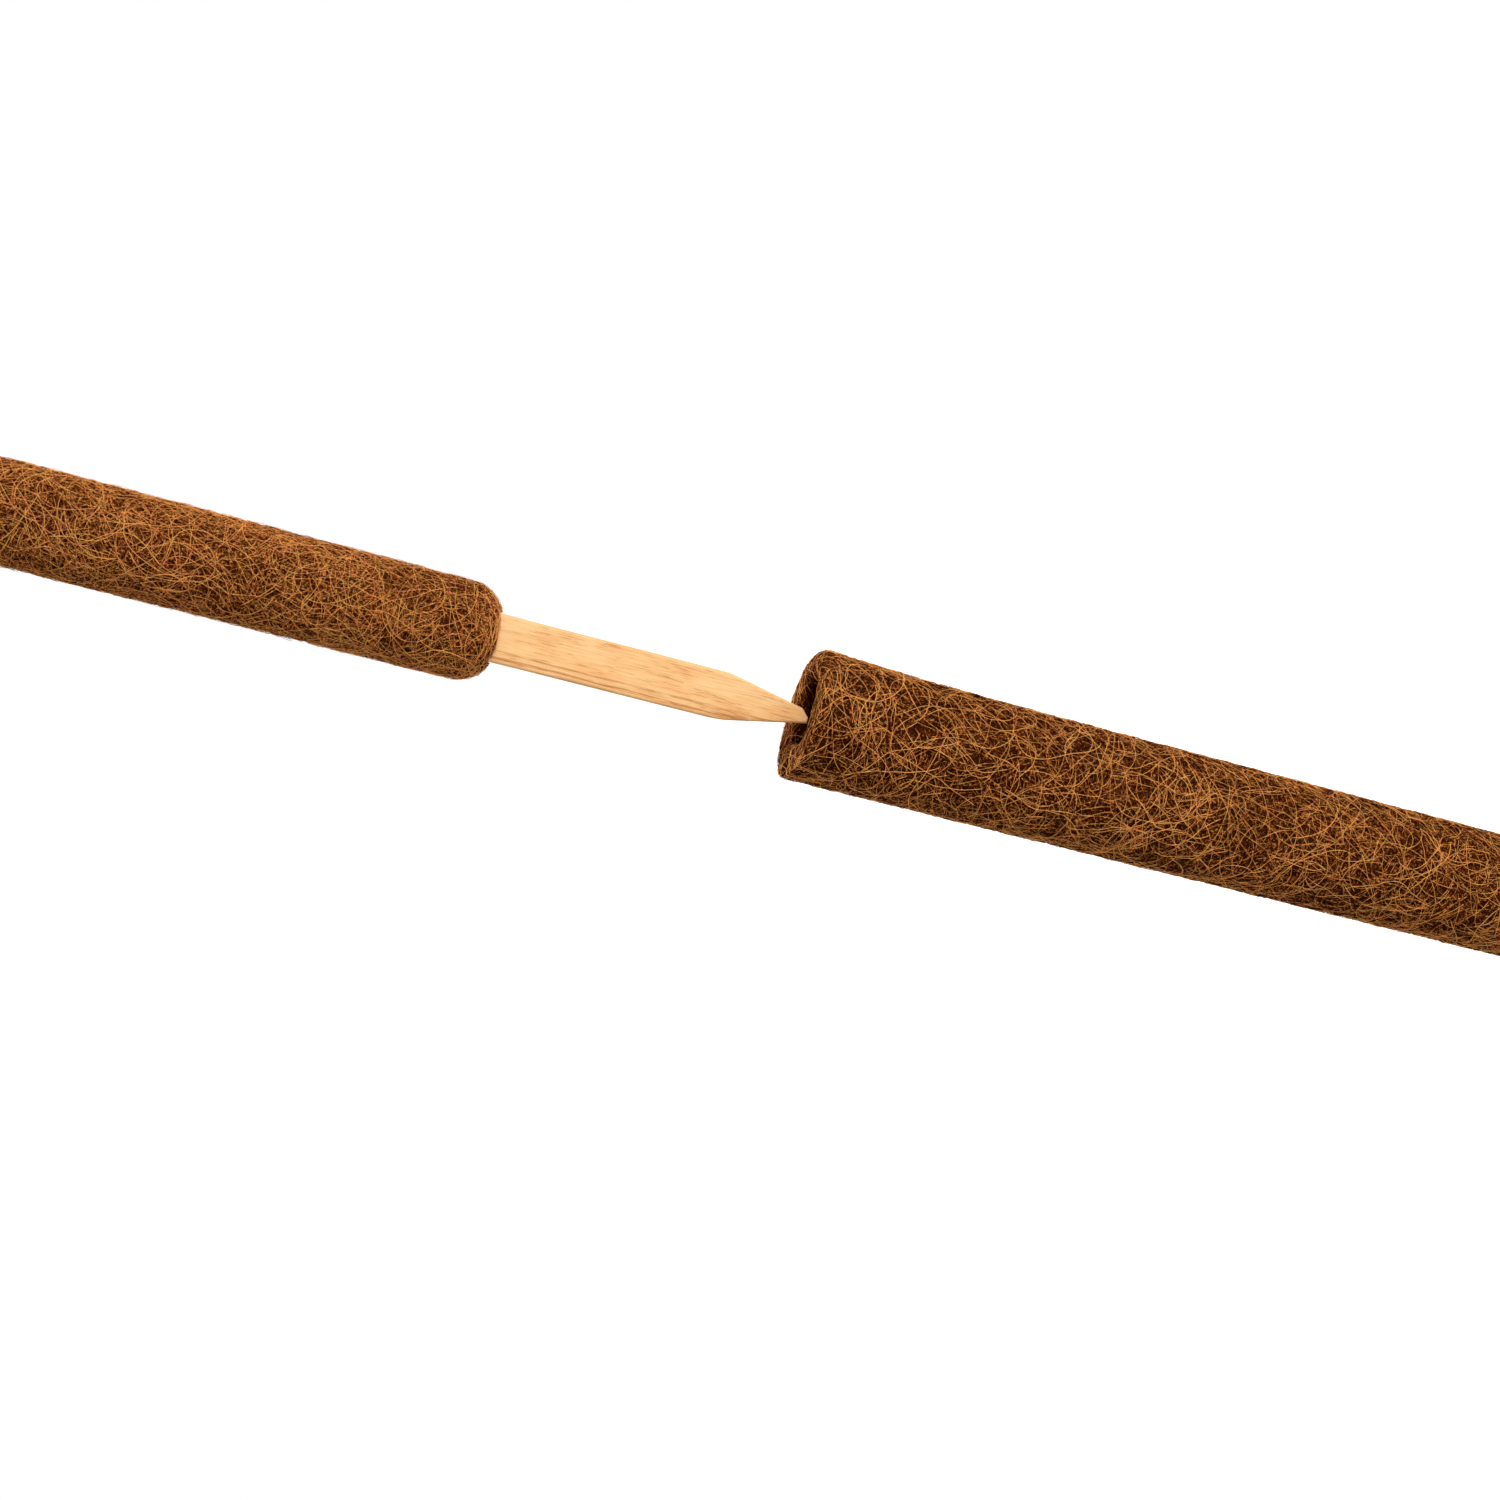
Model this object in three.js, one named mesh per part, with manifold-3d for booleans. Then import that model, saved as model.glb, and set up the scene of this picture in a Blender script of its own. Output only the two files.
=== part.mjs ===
// Moss pole: two stackable sections, each a coir mat rolled and wrapped round a wooden stake.
// The bare, pointed stake of the upper section plugs into the slotted socket in the top of the
// lower section, and the lower section's own stake goes into the potting soil.
// Millimetres, +Z up. The origin is on the pole's axis at the soil line, which is the underside
// of the lower section's coir. The stakes' wide faces look along -Y and +Y.

import * as THREE from 'three';
import { mergeVertices } from 'three/addons/utils/BufferGeometryUtils.js';
import Module from 'manifold-3d';

// Coir
const COIR_LENGTH = 300; // of one section, from its rounded foot to its mouth
const UPPER_CORE_WALL = 2.1; // rolled mat outside the corners of the bore
const LOWER_CORE_WALL = 7.1; // the lower section's roll has more turns
const COVER_THICKNESS = 3.2; // mat wrapped over the roll
const FOOT_THICKNESS = 8; // cover gathered in under the roll
const FOOT_ROUNDING = 11.5; // the gathered foot is nearly a dome
const RIM_ROUNDING = 1.5; // round the outside of the mouth
const RIM_FLAT = 0.2; // flat left on the cover's end inside that rounding
const SEAM_WIDTH = 0.4; // the cover's long edges meet at the back
const MOUTH_FLARE = 0.8; // lead-in round the mouth of the socket
const MOUTH_FLARE_DEPTH = 2;
const MOUTH_SLANT = 2.2; // degrees by which the lower section's end is cut out of square
const SLOT_SPREAD = 4; // the lower section's slot is spread at one end of its mouth
const SLOT_SPREAD_DEPTH = 14;

// Stakes
const STAKE_WIDTH = 14.5;
const STAKE_THICKNESS = 12;
const STAKE_EXPOSED = 95; // bare length below the coir, with the point
const POINT_LENGTH = 26.3;
const TIP_WIDTH = 3.7; // the point is sawn off blunt
const TIP_CUT_WIDTH = 2; // and one corner of its end is cut away
const TIP_CUT_LENGTH = 2.4;
const SHOULDER_ROUNDING = 2.4; // cut back along both edges where the point begins
const ARRIS_ROUNDING = 0.8;

// Staples through the back of the mats into the stake
const STAPLE_WIRE = 1.2;
const STAPLE_BITE = 6; // leg length in the wood
const STAPLE_EDGE = 2.2; // wood left outside each leg
const STAPLE_INSET = 25; // from the foot, and from the head of the stake

// Fits
const FIT = 0.3; // gap between pieces that bear on each other
const SOCKET_SPARE = 5; // room left under the tip of a fully seated stake
const TIP_ENGAGEMENT = 1.2; // how far the upper tip sits in the lower mouth as shown

// Facets
const ROUND_SEGMENTS = 48;
const CURVE_SEGMENTS = 6;
const ARRIS_SEGMENTS = 2;

// Sizes that follow
const socketDepth = STAKE_EXPOSED + SOCKET_SPARE;
const stakeHead = COIR_LENGTH - socketDepth;
const boreWidth = STAKE_WIDTH + 2 * FIT;
const boreThickness = STAKE_THICKNESS + 2 * FIT;
const boreCorner = ARRIS_ROUNDING + FIT;
const boreReach =
  Math.hypot(boreWidth / 2 - boreCorner, boreThickness / 2 - boreCorner) + boreCorner;
const rimRounding = Math.min(RIM_ROUNDING, COVER_THICKNESS - RIM_FLAT);
const stapleWidth = STAKE_WIDTH - 2 * STAPLE_EDGE;
const stapleHeights = { bottom: STAPLE_INSET, top: stakeHead - STAPLE_INSET };

const wasm = await Module();
wasm.setup();

function solidOf(geometry) {
  const bare = geometry.clone();
  bare.deleteAttribute('normal');
  bare.deleteAttribute('uv');
  const merged = mergeVertices(bare);
  const vertProperties = new Float32Array(merged.attributes.position.array);
  const triVerts = new Uint32Array(merged.index.array);
  return new wasm.Manifold(new wasm.Mesh({ numProp: 3, vertProperties, triVerts }));
}

function geometryOf(solid) {
  const { vertProperties, triVerts } = solid.getMesh();
  const geometry = new THREE.BufferGeometry();
  geometry.setAttribute('position', new THREE.BufferAttribute(vertProperties, 3));
  geometry.setIndex(new THREE.BufferAttribute(triVerts, 1));
  geometry.computeVertexNormals();
  return geometry;
}

// The section of the stake grown by the fit, centred on the axis.
function boreOutline() {
  const halfWidth = boreWidth / 2;
  const halfThickness = boreThickness / 2;
  const x = halfWidth - boreCorner;
  const y = halfThickness - boreCorner;
  const outline = new THREE.Shape();
  outline.absarc(x, y, boreCorner, 0, Math.PI / 2);
  outline.absarc(-x, y, boreCorner, Math.PI / 2, Math.PI);
  outline.absarc(-x, -y, boreCorner, Math.PI, 1.5 * Math.PI);
  outline.absarc(x, -y, boreCorner, 1.5 * Math.PI, 2 * Math.PI);
  return outline;
}

function bore() {
  const depth = 3 * COIR_LENGTH;
  const geometry = new THREE.ExtrudeGeometry(boreOutline(), {
    depth,
    bevelEnabled: false,
    curveSegments: CURVE_SEGMENTS / 2,
  });
  return solidOf(geometry.translate(0, 0, -COIR_LENGTH));
}

// Widens from the bore's own outline to the flare at the mouth, and goes on above it.
function mouthFlare() {
  const geometry = new THREE.ExtrudeGeometry(boreOutline(), {
    depth: MOUTH_FLARE_DEPTH,
    bevelThickness: MOUTH_FLARE_DEPTH,
    bevelSize: MOUTH_FLARE,
    bevelSegments: 1,
    curveSegments: CURVE_SEGMENTS / 2,
  });
  return solidOf(geometry.translate(0, 0, COIR_LENGTH));
}

// Spreads the slot towards +X, from nothing at its depth to the full spread at the mouth.
function slotSpread() {
  const wall = boreWidth / 2;
  const bottom = COIR_LENGTH - SLOT_SPREAD_DEPTH;
  const top = COIR_LENGTH + SLOT_SPREAD_DEPTH;
  const outline = new THREE.Shape();
  outline.moveTo(0, bottom);
  outline.lineTo(wall, bottom);
  outline.lineTo(wall + 2 * SLOT_SPREAD, top);
  outline.lineTo(0, top);
  outline.closePath();
  const depth = boreThickness - 2 * boreCorner;
  const geometry = new THREE.ExtrudeGeometry(outline, { depth, bevelEnabled: false });
  return solidOf(geometry.rotateX(Math.PI / 2).translate(0, depth / 2, 0));
}

// Seen on its wide face: square head at the top, sawn point with eased shoulders below.
function stakeOutline() {
  const half = STAKE_WIDTH / 2;
  const halfTip = TIP_WIDTH / 2;
  const bottom = -STAKE_EXPOSED;
  const shoulder = bottom + POINT_LENGTH;
  const taper = new THREE.Vector2(half - halfTip, POINT_LENGTH);
  const cut = taper.clone().multiplyScalar(TIP_CUT_LENGTH / POINT_LENGTH);
  const ease = taper.clone().setLength(SHOULDER_ROUNDING);
  const outline = new THREE.Shape();
  outline.moveTo(-halfTip, bottom);
  outline.lineTo(halfTip - TIP_CUT_WIDTH, bottom);
  outline.lineTo(halfTip + cut.x, bottom + cut.y);
  outline.lineTo(half - ease.x, shoulder - ease.y);
  outline.quadraticCurveTo(half, shoulder, half, shoulder + SHOULDER_ROUNDING);
  outline.lineTo(half, stakeHead);
  outline.lineTo(-half, stakeHead);
  outline.lineTo(-half, shoulder + SHOULDER_ROUNDING);
  outline.quadraticCurveTo(-half, shoulder, ease.x - half, shoulder - ease.y);
  outline.closePath();
  return outline;
}

function stakeBatten() {
  const flat = STAKE_THICKNESS - 2 * ARRIS_ROUNDING;
  const geometry = new THREE.ExtrudeGeometry(stakeOutline(), {
    depth: flat,
    bevelThickness: ARRIS_ROUNDING,
    bevelSize: ARRIS_ROUNDING,
    bevelOffset: -ARRIS_ROUNDING,
    bevelSegments: ARRIS_SEGMENTS,
    curveSegments: CURVE_SEGMENTS,
  });
  geometry.translate(0, 0, -flat / 2);
  return solidOf(geometry.rotateX(Math.PI / 2));
}

// Tilts the upper end of a mat, so that its -X side stands higher.
function slantTop(geometry, slant) {
  const rise = Math.tan(THREE.MathUtils.degToRad(slant));
  const { position } = geometry.attributes;
  for (let i = 0; i < position.count; i += 1) {
    if (position.getZ(i) > COIR_LENGTH / 2) {
      position.setZ(i, position.getZ(i) - rise * position.getX(i));
    }
  }
  return geometry;
}

// The inner roll, which the stake fills from below and whose open end is the socket.
function coreRoll(coreRadius, slant) {
  const bottom = FOOT_THICKNESS + FIT;
  const height = COIR_LENGTH - bottom;
  const geometry = new THREE.CylinderGeometry(coreRadius, coreRadius, height, ROUND_SEGMENTS);
  geometry.rotateX(Math.PI / 2).translate(0, 0, bottom + height / 2);
  return solidOf(slantTop(geometry, slant)).subtract(bore()).subtract(mouthFlare());
}

// Points of a quarter circle in the plane of radius and height.
function quarter(centreRadius, centreHeight, rounding, startAngle) {
  const arc = new THREE.EllipseCurve(
    centreRadius, centreHeight, rounding, rounding, startAngle, startAngle + Math.PI / 2,
  );
  return arc.getPoints(CURVE_SEGMENTS);
}

// The outer mat: a tube with a rounded foot gathered in to the stake and a seam down its back.
function coverWrap(coverRadius, slant) {
  const inside = coverRadius - COVER_THICKNESS;
  const profile = [
    new THREE.Vector2(0, 0),
    ...quarter(coverRadius - FOOT_ROUNDING, FOOT_ROUNDING, FOOT_ROUNDING, -Math.PI / 2),
    ...quarter(coverRadius - rimRounding, COIR_LENGTH - rimRounding, rimRounding, 0),
    new THREE.Vector2(inside, COIR_LENGTH),
    new THREE.Vector2(inside, FOOT_THICKNESS),
    new THREE.Vector2(0, FOOT_THICKNESS),
  ];
  const tube = new THREE.LatheGeometry(profile, ROUND_SEGMENTS).rotateX(Math.PI / 2);
  const seam = new THREE.BoxGeometry(SEAM_WIDTH, 2 * coverRadius, 3 * COIR_LENGTH);
  seam.translate(0, coverRadius, 0);
  return solidOf(slantTop(tube, slant)).subtract(bore()).subtract(solidOf(seam));
}

// Seen from above, with the crown at the back (+Y) and the legs driven forwards. Each leg ends
// in a chisel point. The room round a staple is open to the outside of the cover.
function stapleOutline(width, wire, tip, crown, back) {
  const half = width / 2;
  const outline = new THREE.Shape();
  outline.moveTo(-half, tip + wire);
  outline.lineTo(wire - half, tip);
  outline.lineTo(wire - half, crown - wire);
  outline.lineTo(half - wire, crown - wire);
  outline.lineTo(half - wire, tip);
  outline.lineTo(half, tip + wire);
  outline.lineTo(half, back);
  outline.lineTo(-half, back);
  outline.closePath();
  return outline;
}

function stapleSolid(outline, wire, height) {
  const geometry = new THREE.ExtrudeGeometry(outline, { depth: wire, bevelEnabled: false });
  return solidOf(geometry.translate(0, 0, height - wire / 2));
}

function wireStaple(coverRadius, height) {
  const tip = STAKE_THICKNESS / 2 - STAPLE_BITE;
  const crown = Math.sqrt(coverRadius ** 2 - (stapleWidth / 2) ** 2);
  const outline = stapleOutline(stapleWidth, STAPLE_WIRE, tip, crown, crown);
  return stapleSolid(outline, STAPLE_WIRE, height);
}

function stapleRoom(coverRadius, height) {
  const wire = STAPLE_WIRE + 2 * FIT;
  const tip = STAKE_THICKNESS / 2 - STAPLE_BITE - 2 * FIT;
  const crown = Math.sqrt(coverRadius ** 2 - (stapleWidth / 2) ** 2) + FIT;
  const outline = stapleOutline(stapleWidth + 2 * FIT, wire, tip, crown, 2 * coverRadius);
  return stapleSolid(outline, wire, height);
}

const finishes = {
  coir: { color: 0x82502c, roughness: 0.95, metalness: 0 },
  wood: { color: 0xf5c688, roughness: 0.7, metalness: 0 },
  steel: { color: 0xb4b6b8, roughness: 0.4, metalness: 1 },
};

function piece(name, solid, finish) {
  const mesh = new THREE.Mesh(geometryOf(solid), new THREE.MeshStandardMaterial(finishes[finish]));
  mesh.name = name;
  return mesh;
}

// One section stands on its own soil line, with its stake below.
function section(name, coreWall, slant, mouthCuts) {
  const coreRadius = boreReach + coreWall;
  const coverRadius = coreRadius + FIT + COVER_THICKNESS;
  let stake = stakeBatten();
  let core = coreRoll(coreRadius, slant);
  let cover = coverWrap(coverRadius, slant);
  const group = new THREE.Group();
  for (const cut of mouthCuts) {
    core = core.subtract(cut);
  }
  for (const [place, height] of Object.entries(stapleHeights)) {
    const room = stapleRoom(coverRadius, height);
    stake = stake.subtract(room);
    core = core.subtract(room);
    cover = cover.subtract(room);
    group.add(piece(`${name}_staple_${place}`, wireStaple(coverRadius, height), 'steel'));
  }
  group.add(piece(`${name}_stake`, stake, 'wood'));
  group.add(piece(`${name}_core_mat`, core, 'coir'));
  group.add(piece(`${name}_cover_mat`, cover, 'coir'));
  return group;
}

const lowerSection = section('lower', LOWER_CORE_WALL, MOUTH_SLANT, [slotSpread()]);
const upperSection = section('upper', UPPER_CORE_WALL, 0, []);
upperSection.position.z = COIR_LENGTH + STAKE_EXPOSED - TIP_ENGAGEMENT;

const mossPole = new THREE.Group();
mossPole.name = 'moss_pole';
mossPole.add(lowerSection, upperSection);

export default mossPole;
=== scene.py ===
"""Moss pole: two coir sections on wooden stakes that plug into each other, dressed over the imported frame.

Every length is in metres. The pole stands along Z, with the stakes' wide faces towards -Y and +Y.
"""

import math
from typing import NamedTuple

import bmesh
import bpy
import numpy as np
from mathutils import Matrix, Vector


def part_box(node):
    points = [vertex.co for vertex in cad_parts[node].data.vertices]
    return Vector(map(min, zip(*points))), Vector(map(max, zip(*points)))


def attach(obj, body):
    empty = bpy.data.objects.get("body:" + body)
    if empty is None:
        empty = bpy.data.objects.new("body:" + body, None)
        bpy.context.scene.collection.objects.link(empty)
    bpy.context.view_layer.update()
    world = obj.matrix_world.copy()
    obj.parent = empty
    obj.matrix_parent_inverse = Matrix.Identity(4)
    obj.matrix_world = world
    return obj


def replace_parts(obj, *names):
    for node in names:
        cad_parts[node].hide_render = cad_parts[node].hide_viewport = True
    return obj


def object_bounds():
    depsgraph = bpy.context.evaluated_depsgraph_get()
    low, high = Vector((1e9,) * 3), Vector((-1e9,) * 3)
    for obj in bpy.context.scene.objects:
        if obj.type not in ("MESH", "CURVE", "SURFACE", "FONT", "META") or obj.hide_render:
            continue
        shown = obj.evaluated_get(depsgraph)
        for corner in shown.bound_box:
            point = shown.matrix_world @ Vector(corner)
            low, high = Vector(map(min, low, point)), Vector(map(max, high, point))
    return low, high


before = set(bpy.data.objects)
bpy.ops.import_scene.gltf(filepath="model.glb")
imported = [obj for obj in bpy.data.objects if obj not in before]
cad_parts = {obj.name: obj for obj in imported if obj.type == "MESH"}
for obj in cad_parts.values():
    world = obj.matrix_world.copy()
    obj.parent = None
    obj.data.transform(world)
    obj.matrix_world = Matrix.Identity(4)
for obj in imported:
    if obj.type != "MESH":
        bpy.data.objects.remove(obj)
cad_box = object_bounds()

bl_info = {
    "name": "Moss pole",
    "version": (1, 0, 0),
    "blender": (4, 5, 0),
    "location": "View3D > Sidebar > Moss pole",
    "description": "Dresses a stackable coir pole with fibres, grained stakes, wire staples and light",
    "category": "Add Mesh",
}

MM = 0.001
LOWER, UPPER = "lower", "upper"
SECTION_NAMES = (LOWER, UPPER)
STAPLE_PLACES = ("bottom", "top")

# Mesh detail. A fibre with fewer points than the fewest is left out.
RING_SEGMENTS = 64
ARC_SEGMENTS = 8
SHOULDER_SEGMENTS = 6
ARRIS_SEGMENTS = 3
FIBRE_SIDES = 3
FEWEST_POINTS = 4
MERGE_DISTANCE = 1e-7

# Edges of a stake that run less than this through its thickness are the rims of its wide faces.
RIM_LIMIT = 0.1 * MM

# The power of the socket's rounded oblong: a higher one is squarer.
SLOT_SQUARENESS = 6

# Rings down the wrap's side, as shares of the flare's depth below the mouth.
SIDE_RINGS = (4.0, 2.6, 1.7, 1.1, 0.65, 0.35, 0.15)

# Rings that ease the wrap's rim, as shares of the felt's depth.
RIM_NEAR = 0.7
RIM_FAR = 1.7

# Zones that fibres start from, and how much of each end's disc is left beside the stake's hole and the
# rounding, which counts as side.
SIDE, FOOT, MOUTH, SOCKET = range(4)
FOOT_SHARE = 0.25
MOUTH_SHARE = 0.85

# How points are spread over the coir and moved onto its outside.
PLASTIC_RATIO = 1.324718
SEED_JITTER = 0.2
PROBE = 0.02 * MM
SMALLEST = 1e-12
SETTLE_PASSES = 3

# How near to the socket's walls a point counts as on them.
WALL_REACH = 1.5 * MM

# How far fibres keep from the slot below the dressed part of the socket, and from the staples' ends.
SLOT_MARGIN = 0.5 * MM
STAPLE_MARGIN = 0.4 * MM

# How fibres turn round the foot, sway, weave, tuck their ends in and stand up where an end is loose.
FOOT_TURN = 2.5
SWAY_LENGTHS = (12 * MM, 34 * MM)
WEAVE_LENGTHS = (5 * MM, 12 * MM)
TUCK_LENGTH = 1.2 * MM
LOOSE_LIFT = 1.6
LOOSE_LENGTH = 3 * MM

# Places across a stake: the streaked side, the band of painted shade on the rounded edge, and each brown line
# with its half width.
STREAKED_SIDE = (-6.4 * MM, -2.4 * MM)
SHADED_ARRIS = (6.2 * MM, 7.1 * MM)
WOOD_LINES = ((-3.9 * MM, 0.6 * MM), (-5.7 * MM, 0.5 * MM))
LINE_WANDER = 3 * MM


def length(name, description, millimetres):
    return bpy.props.FloatProperty(
        name=name, description=description, default=millimetres * MM, unit="LENGTH"
    )


def number(name, description, default):
    return bpy.props.FloatProperty(name=name, description=description, default=default)


def angle(name, description, degrees):
    return bpy.props.FloatProperty(
        name=name, description=description, default=math.radians(degrees), subtype="ANGLE"
    )


def place(name, description, default):
    return bpy.props.FloatVectorProperty(
        name=name, description=description, default=default, subtype="TRANSLATION", size=3
    )


def colour(name, description, default):
    return bpy.props.FloatVectorProperty(
        name=name, description=description, default=default, subtype="COLOR", size=3, min=0, max=1
    )


class MatSizes(bpy.types.PropertyGroup):
    """Sizes of the coir mats that the frame's boxes don't give."""

    coir_length: length("Coir length", "From a section's foot to its mouth", 300.0)
    foot_rounding: length("Foot rounding", "Radius of the wrap's gathered foot", 11.5)
    foot_thickness: length("Foot thickness", "Coir gathered in under the roll", 8.0)
    rim_rounding: length("Rim rounding", "Radius of the wrap's upper edge", 1.0)
    fit: length("Fit", "Gap between the mats", 0.3)
    mouth_slant: angle("Mouth slant", "How far the lower section's end is cut out of square", 2.2)
    mouth_curl: length("Mouth curl", "How far both sides of that end stand proud of its middle", 1.0)
    mouth_flare: length("Mouth flare", "How far one side of that end leans outwards", 2.3)
    mouth_corner: length("Mouth corner", "How much rounder the rim is on that side", 3.8)
    flare_depth: length("Flare depth", "How fast that lean dies away below the end", 26.0)
    slot_room: length("Slot room", "Room between the socket's fibres and a stake", 0.7)
    slot_corner: length("Slot corner", "Radius of the socket's upright corners", 1.1)
    slot_spread: length("Slot spread", "How far the lower socket is spread at one end", 4.0)
    spread_depth: length("Spread depth", "How far down that spread reaches", 14.0)
    lip_rounding: length("Lip rounding", "Width over which the mouth turns down into the socket", 4.0)
    foot_lip: length("Foot lip", "Width over which the foot turns in to the stake", 1.2)
    foot_gather: length("Foot gather", "How far up the side fibres turn to run round the foot", 9.0)
    socket_depth: length("Dressed socket", "How far down the socket fibres are laid", 16.0)
    felt_depth: length("Felt depth", "How far the felt lies under the outer fibres", 1.05)


class FibreSizes(bpy.types.PropertyGroup):
    """How the loose coconut fibres lie."""

    seed: bpy.props.IntProperty(name="Seed", description="Start of the random draws", default=11)
    radius: length("Radius", "Middling radius of a fibre", 0.09)
    radius_spread: number("Radius spread", "Share by which a fibre's radius varies", 0.35)
    curl: number("Curl", "Most curvature of a whole fibre, per metre", 150.0)
    turn: angle("Turn", "Most that a whole fibre's curl turns it", 180.0)
    sway: number("Sway", "Most curvature that comes and goes along a fibre, per metre", 120.0)
    weave: length("Weave", "How far a fibre rises and dips along its length", 0.20)
    tuck: length("Tuck", "How far a fibre's ends dip into the mat", 0.6)
    lumps: length("Lumps", "Height of the mat's slow unevenness", 0.08)
    end_sink: length("End sink", "How much deeper fibres lie on the mouth and the foot", 0.25)
    seam_gap: length("Seam gap", "Half the width that fibres leave open along the seam", 0.35)
    staple_room: length("Staple room", "Half the height that fibres leave open at a staple", 1.1)
    upper_fineness: number("Upper fineness", "Size of the upper fibres beside the lower ones", 0.80)
    lower_shade: number("Lower shade", "How much deeper the lower section's dark fibres are", 0.46)
    pale_tone: number("Pale tone", "Tone from which the lower section's fibres stay as pale", 1.25)
    # Painted shade: fibres in the socket are darkened with depth below the mouth, for the shadow inside the
    # slot.
    socket_painted_shade: number("Socket shade", "How much darker fibres are inside the socket", 1.10)
    socket_fade: length("Socket fade", "Depth at which the socket reaches its full shade", 3.5)


class StakeSizes(bpy.types.PropertyGroup):
    """Sizes of the stakes' points and edges."""

    point: length("Point", "Length of the tapered point", 26.3)
    tip: length("Tip", "Width of the blunt end", 3.7)
    tip_cut: length("Tip cut", "Width of the corner cut from the blunt end", 2.0)
    tip_cut_length: length("Tip cut length", "How far up the edge that cut reaches", 2.4)
    shoulder: length("Shoulder", "Length of the rounding where the taper starts", 2.4)
    arris: length("Arris", "Rounding of the long edges", 0.8)


class Finishes(bpy.types.PropertyGroup):
    """Colours of coir, wood and steel."""

    # The dark fibre colour is partly painted shade deep in the mat, and the palest, given to the nap on top,
    # partly painted light.
    fibre_dark: colour("Dark fibre", "Fibres deep in the mat", (0.038, 0.006, 0.0006))
    fibre_mid: colour("Brown fibre", "Most fibres", (0.490, 0.116, 0.020))
    fibre_light: colour("Light fibre", "The palest fibres on top", (1.000, 0.470, 0.116))
    fibre_russet: colour("Russet fibre", "Redder pale fibres", (1.000, 0.390, 0.116))
    # Both felt colours are kept dark partly as painted shade for the gaps between the fibres.
    felt_dark: colour("Dark felt", "Shaded felt under the fibres", (0.030, 0.006, 0.0008))
    felt_light: colour("Light felt", "Lighter felt under the fibres", (0.140, 0.038, 0.007))
    wood_pale: colour("Pale wood", "The stakes' main colour", (0.960, 0.605, 0.275))
    wood_warm: colour("Warm wood", "Broad warmer bands along the grain", (0.930, 0.475, 0.178))
    wood_grain: colour("Wood grain", "Fine lines of the grain", (0.830, 0.415, 0.160))
    wood_streak: colour("Wood streak", "Brown streaks along one edge", (0.560, 0.225, 0.066))
    wood_pore: colour("Wood pore", "Short dark pores", (0.430, 0.160, 0.042))
    steel: colour("Steel", "Galvanised wire", (0.46, 0.47, 0.48))
    steel_dull: colour("Dull steel", "Dull spots on the wire", (0.28, 0.28, 0.29))


class Studio(bpy.types.PropertyGroup):
    """Camera, light and floor."""

    lens: number("Lens", "Focal length in millimetres on a 36 mm sensor", 42.9)
    elevation: angle("Elevation", "How far the camera looks down on the mouth", 12.5)
    roll: angle("Roll", "Turn of the picture about the line of sight", -75.957)
    distance: length("Distance", "From the camera to the point it looks at", 543.6)
    aim: place("Aim", "The point that the camera looks at", (-0.0138, 0.0, 0.3127))
    sky: number("Sky", "Even light from all round", 0.52)
    key_place: place("Key place", "The main lamp, seen from the pole's middle", (1.05, -0.90, 0.30))
    key_power: number("Key light", "Power of the main lamp in watts", 14.2)
    key_size: length("Key size", "Width of the main lamp", 550.0)
    back_place: place("Back place", "The lamp behind, seen from the pole's middle", (0.15, 0.95, 0.35))
    back_power: number("Back light", "Power of the lamp behind in watts", 3.5)
    back_size: length("Back size", "Width of the lamp behind", 700.0)
    floor_size: length("Floor size", "Half the width of the floor", 6000.0)
    floor_tint: colour("Floor tint", "The floor's own colour", (0.85, 0.85, 0.85))
    floor_glow: number("Floor glow", "Light that the floor shows the camera by itself", 0.85)


GROUPS = {
    "pole_mats": MatSizes,
    "pole_fibres": FibreSizes,
    "pole_stakes": StakeSizes,
    "pole_finishes": Finishes,
    "pole_studio": Studio,
}


def sidedness(x, y):
    """1 on the side of the pole that flares, falling to 0 a quarter turn away and beyond."""
    return np.maximum(x / np.maximum(np.hypot(x, y), MM), 0) ** 2


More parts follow.
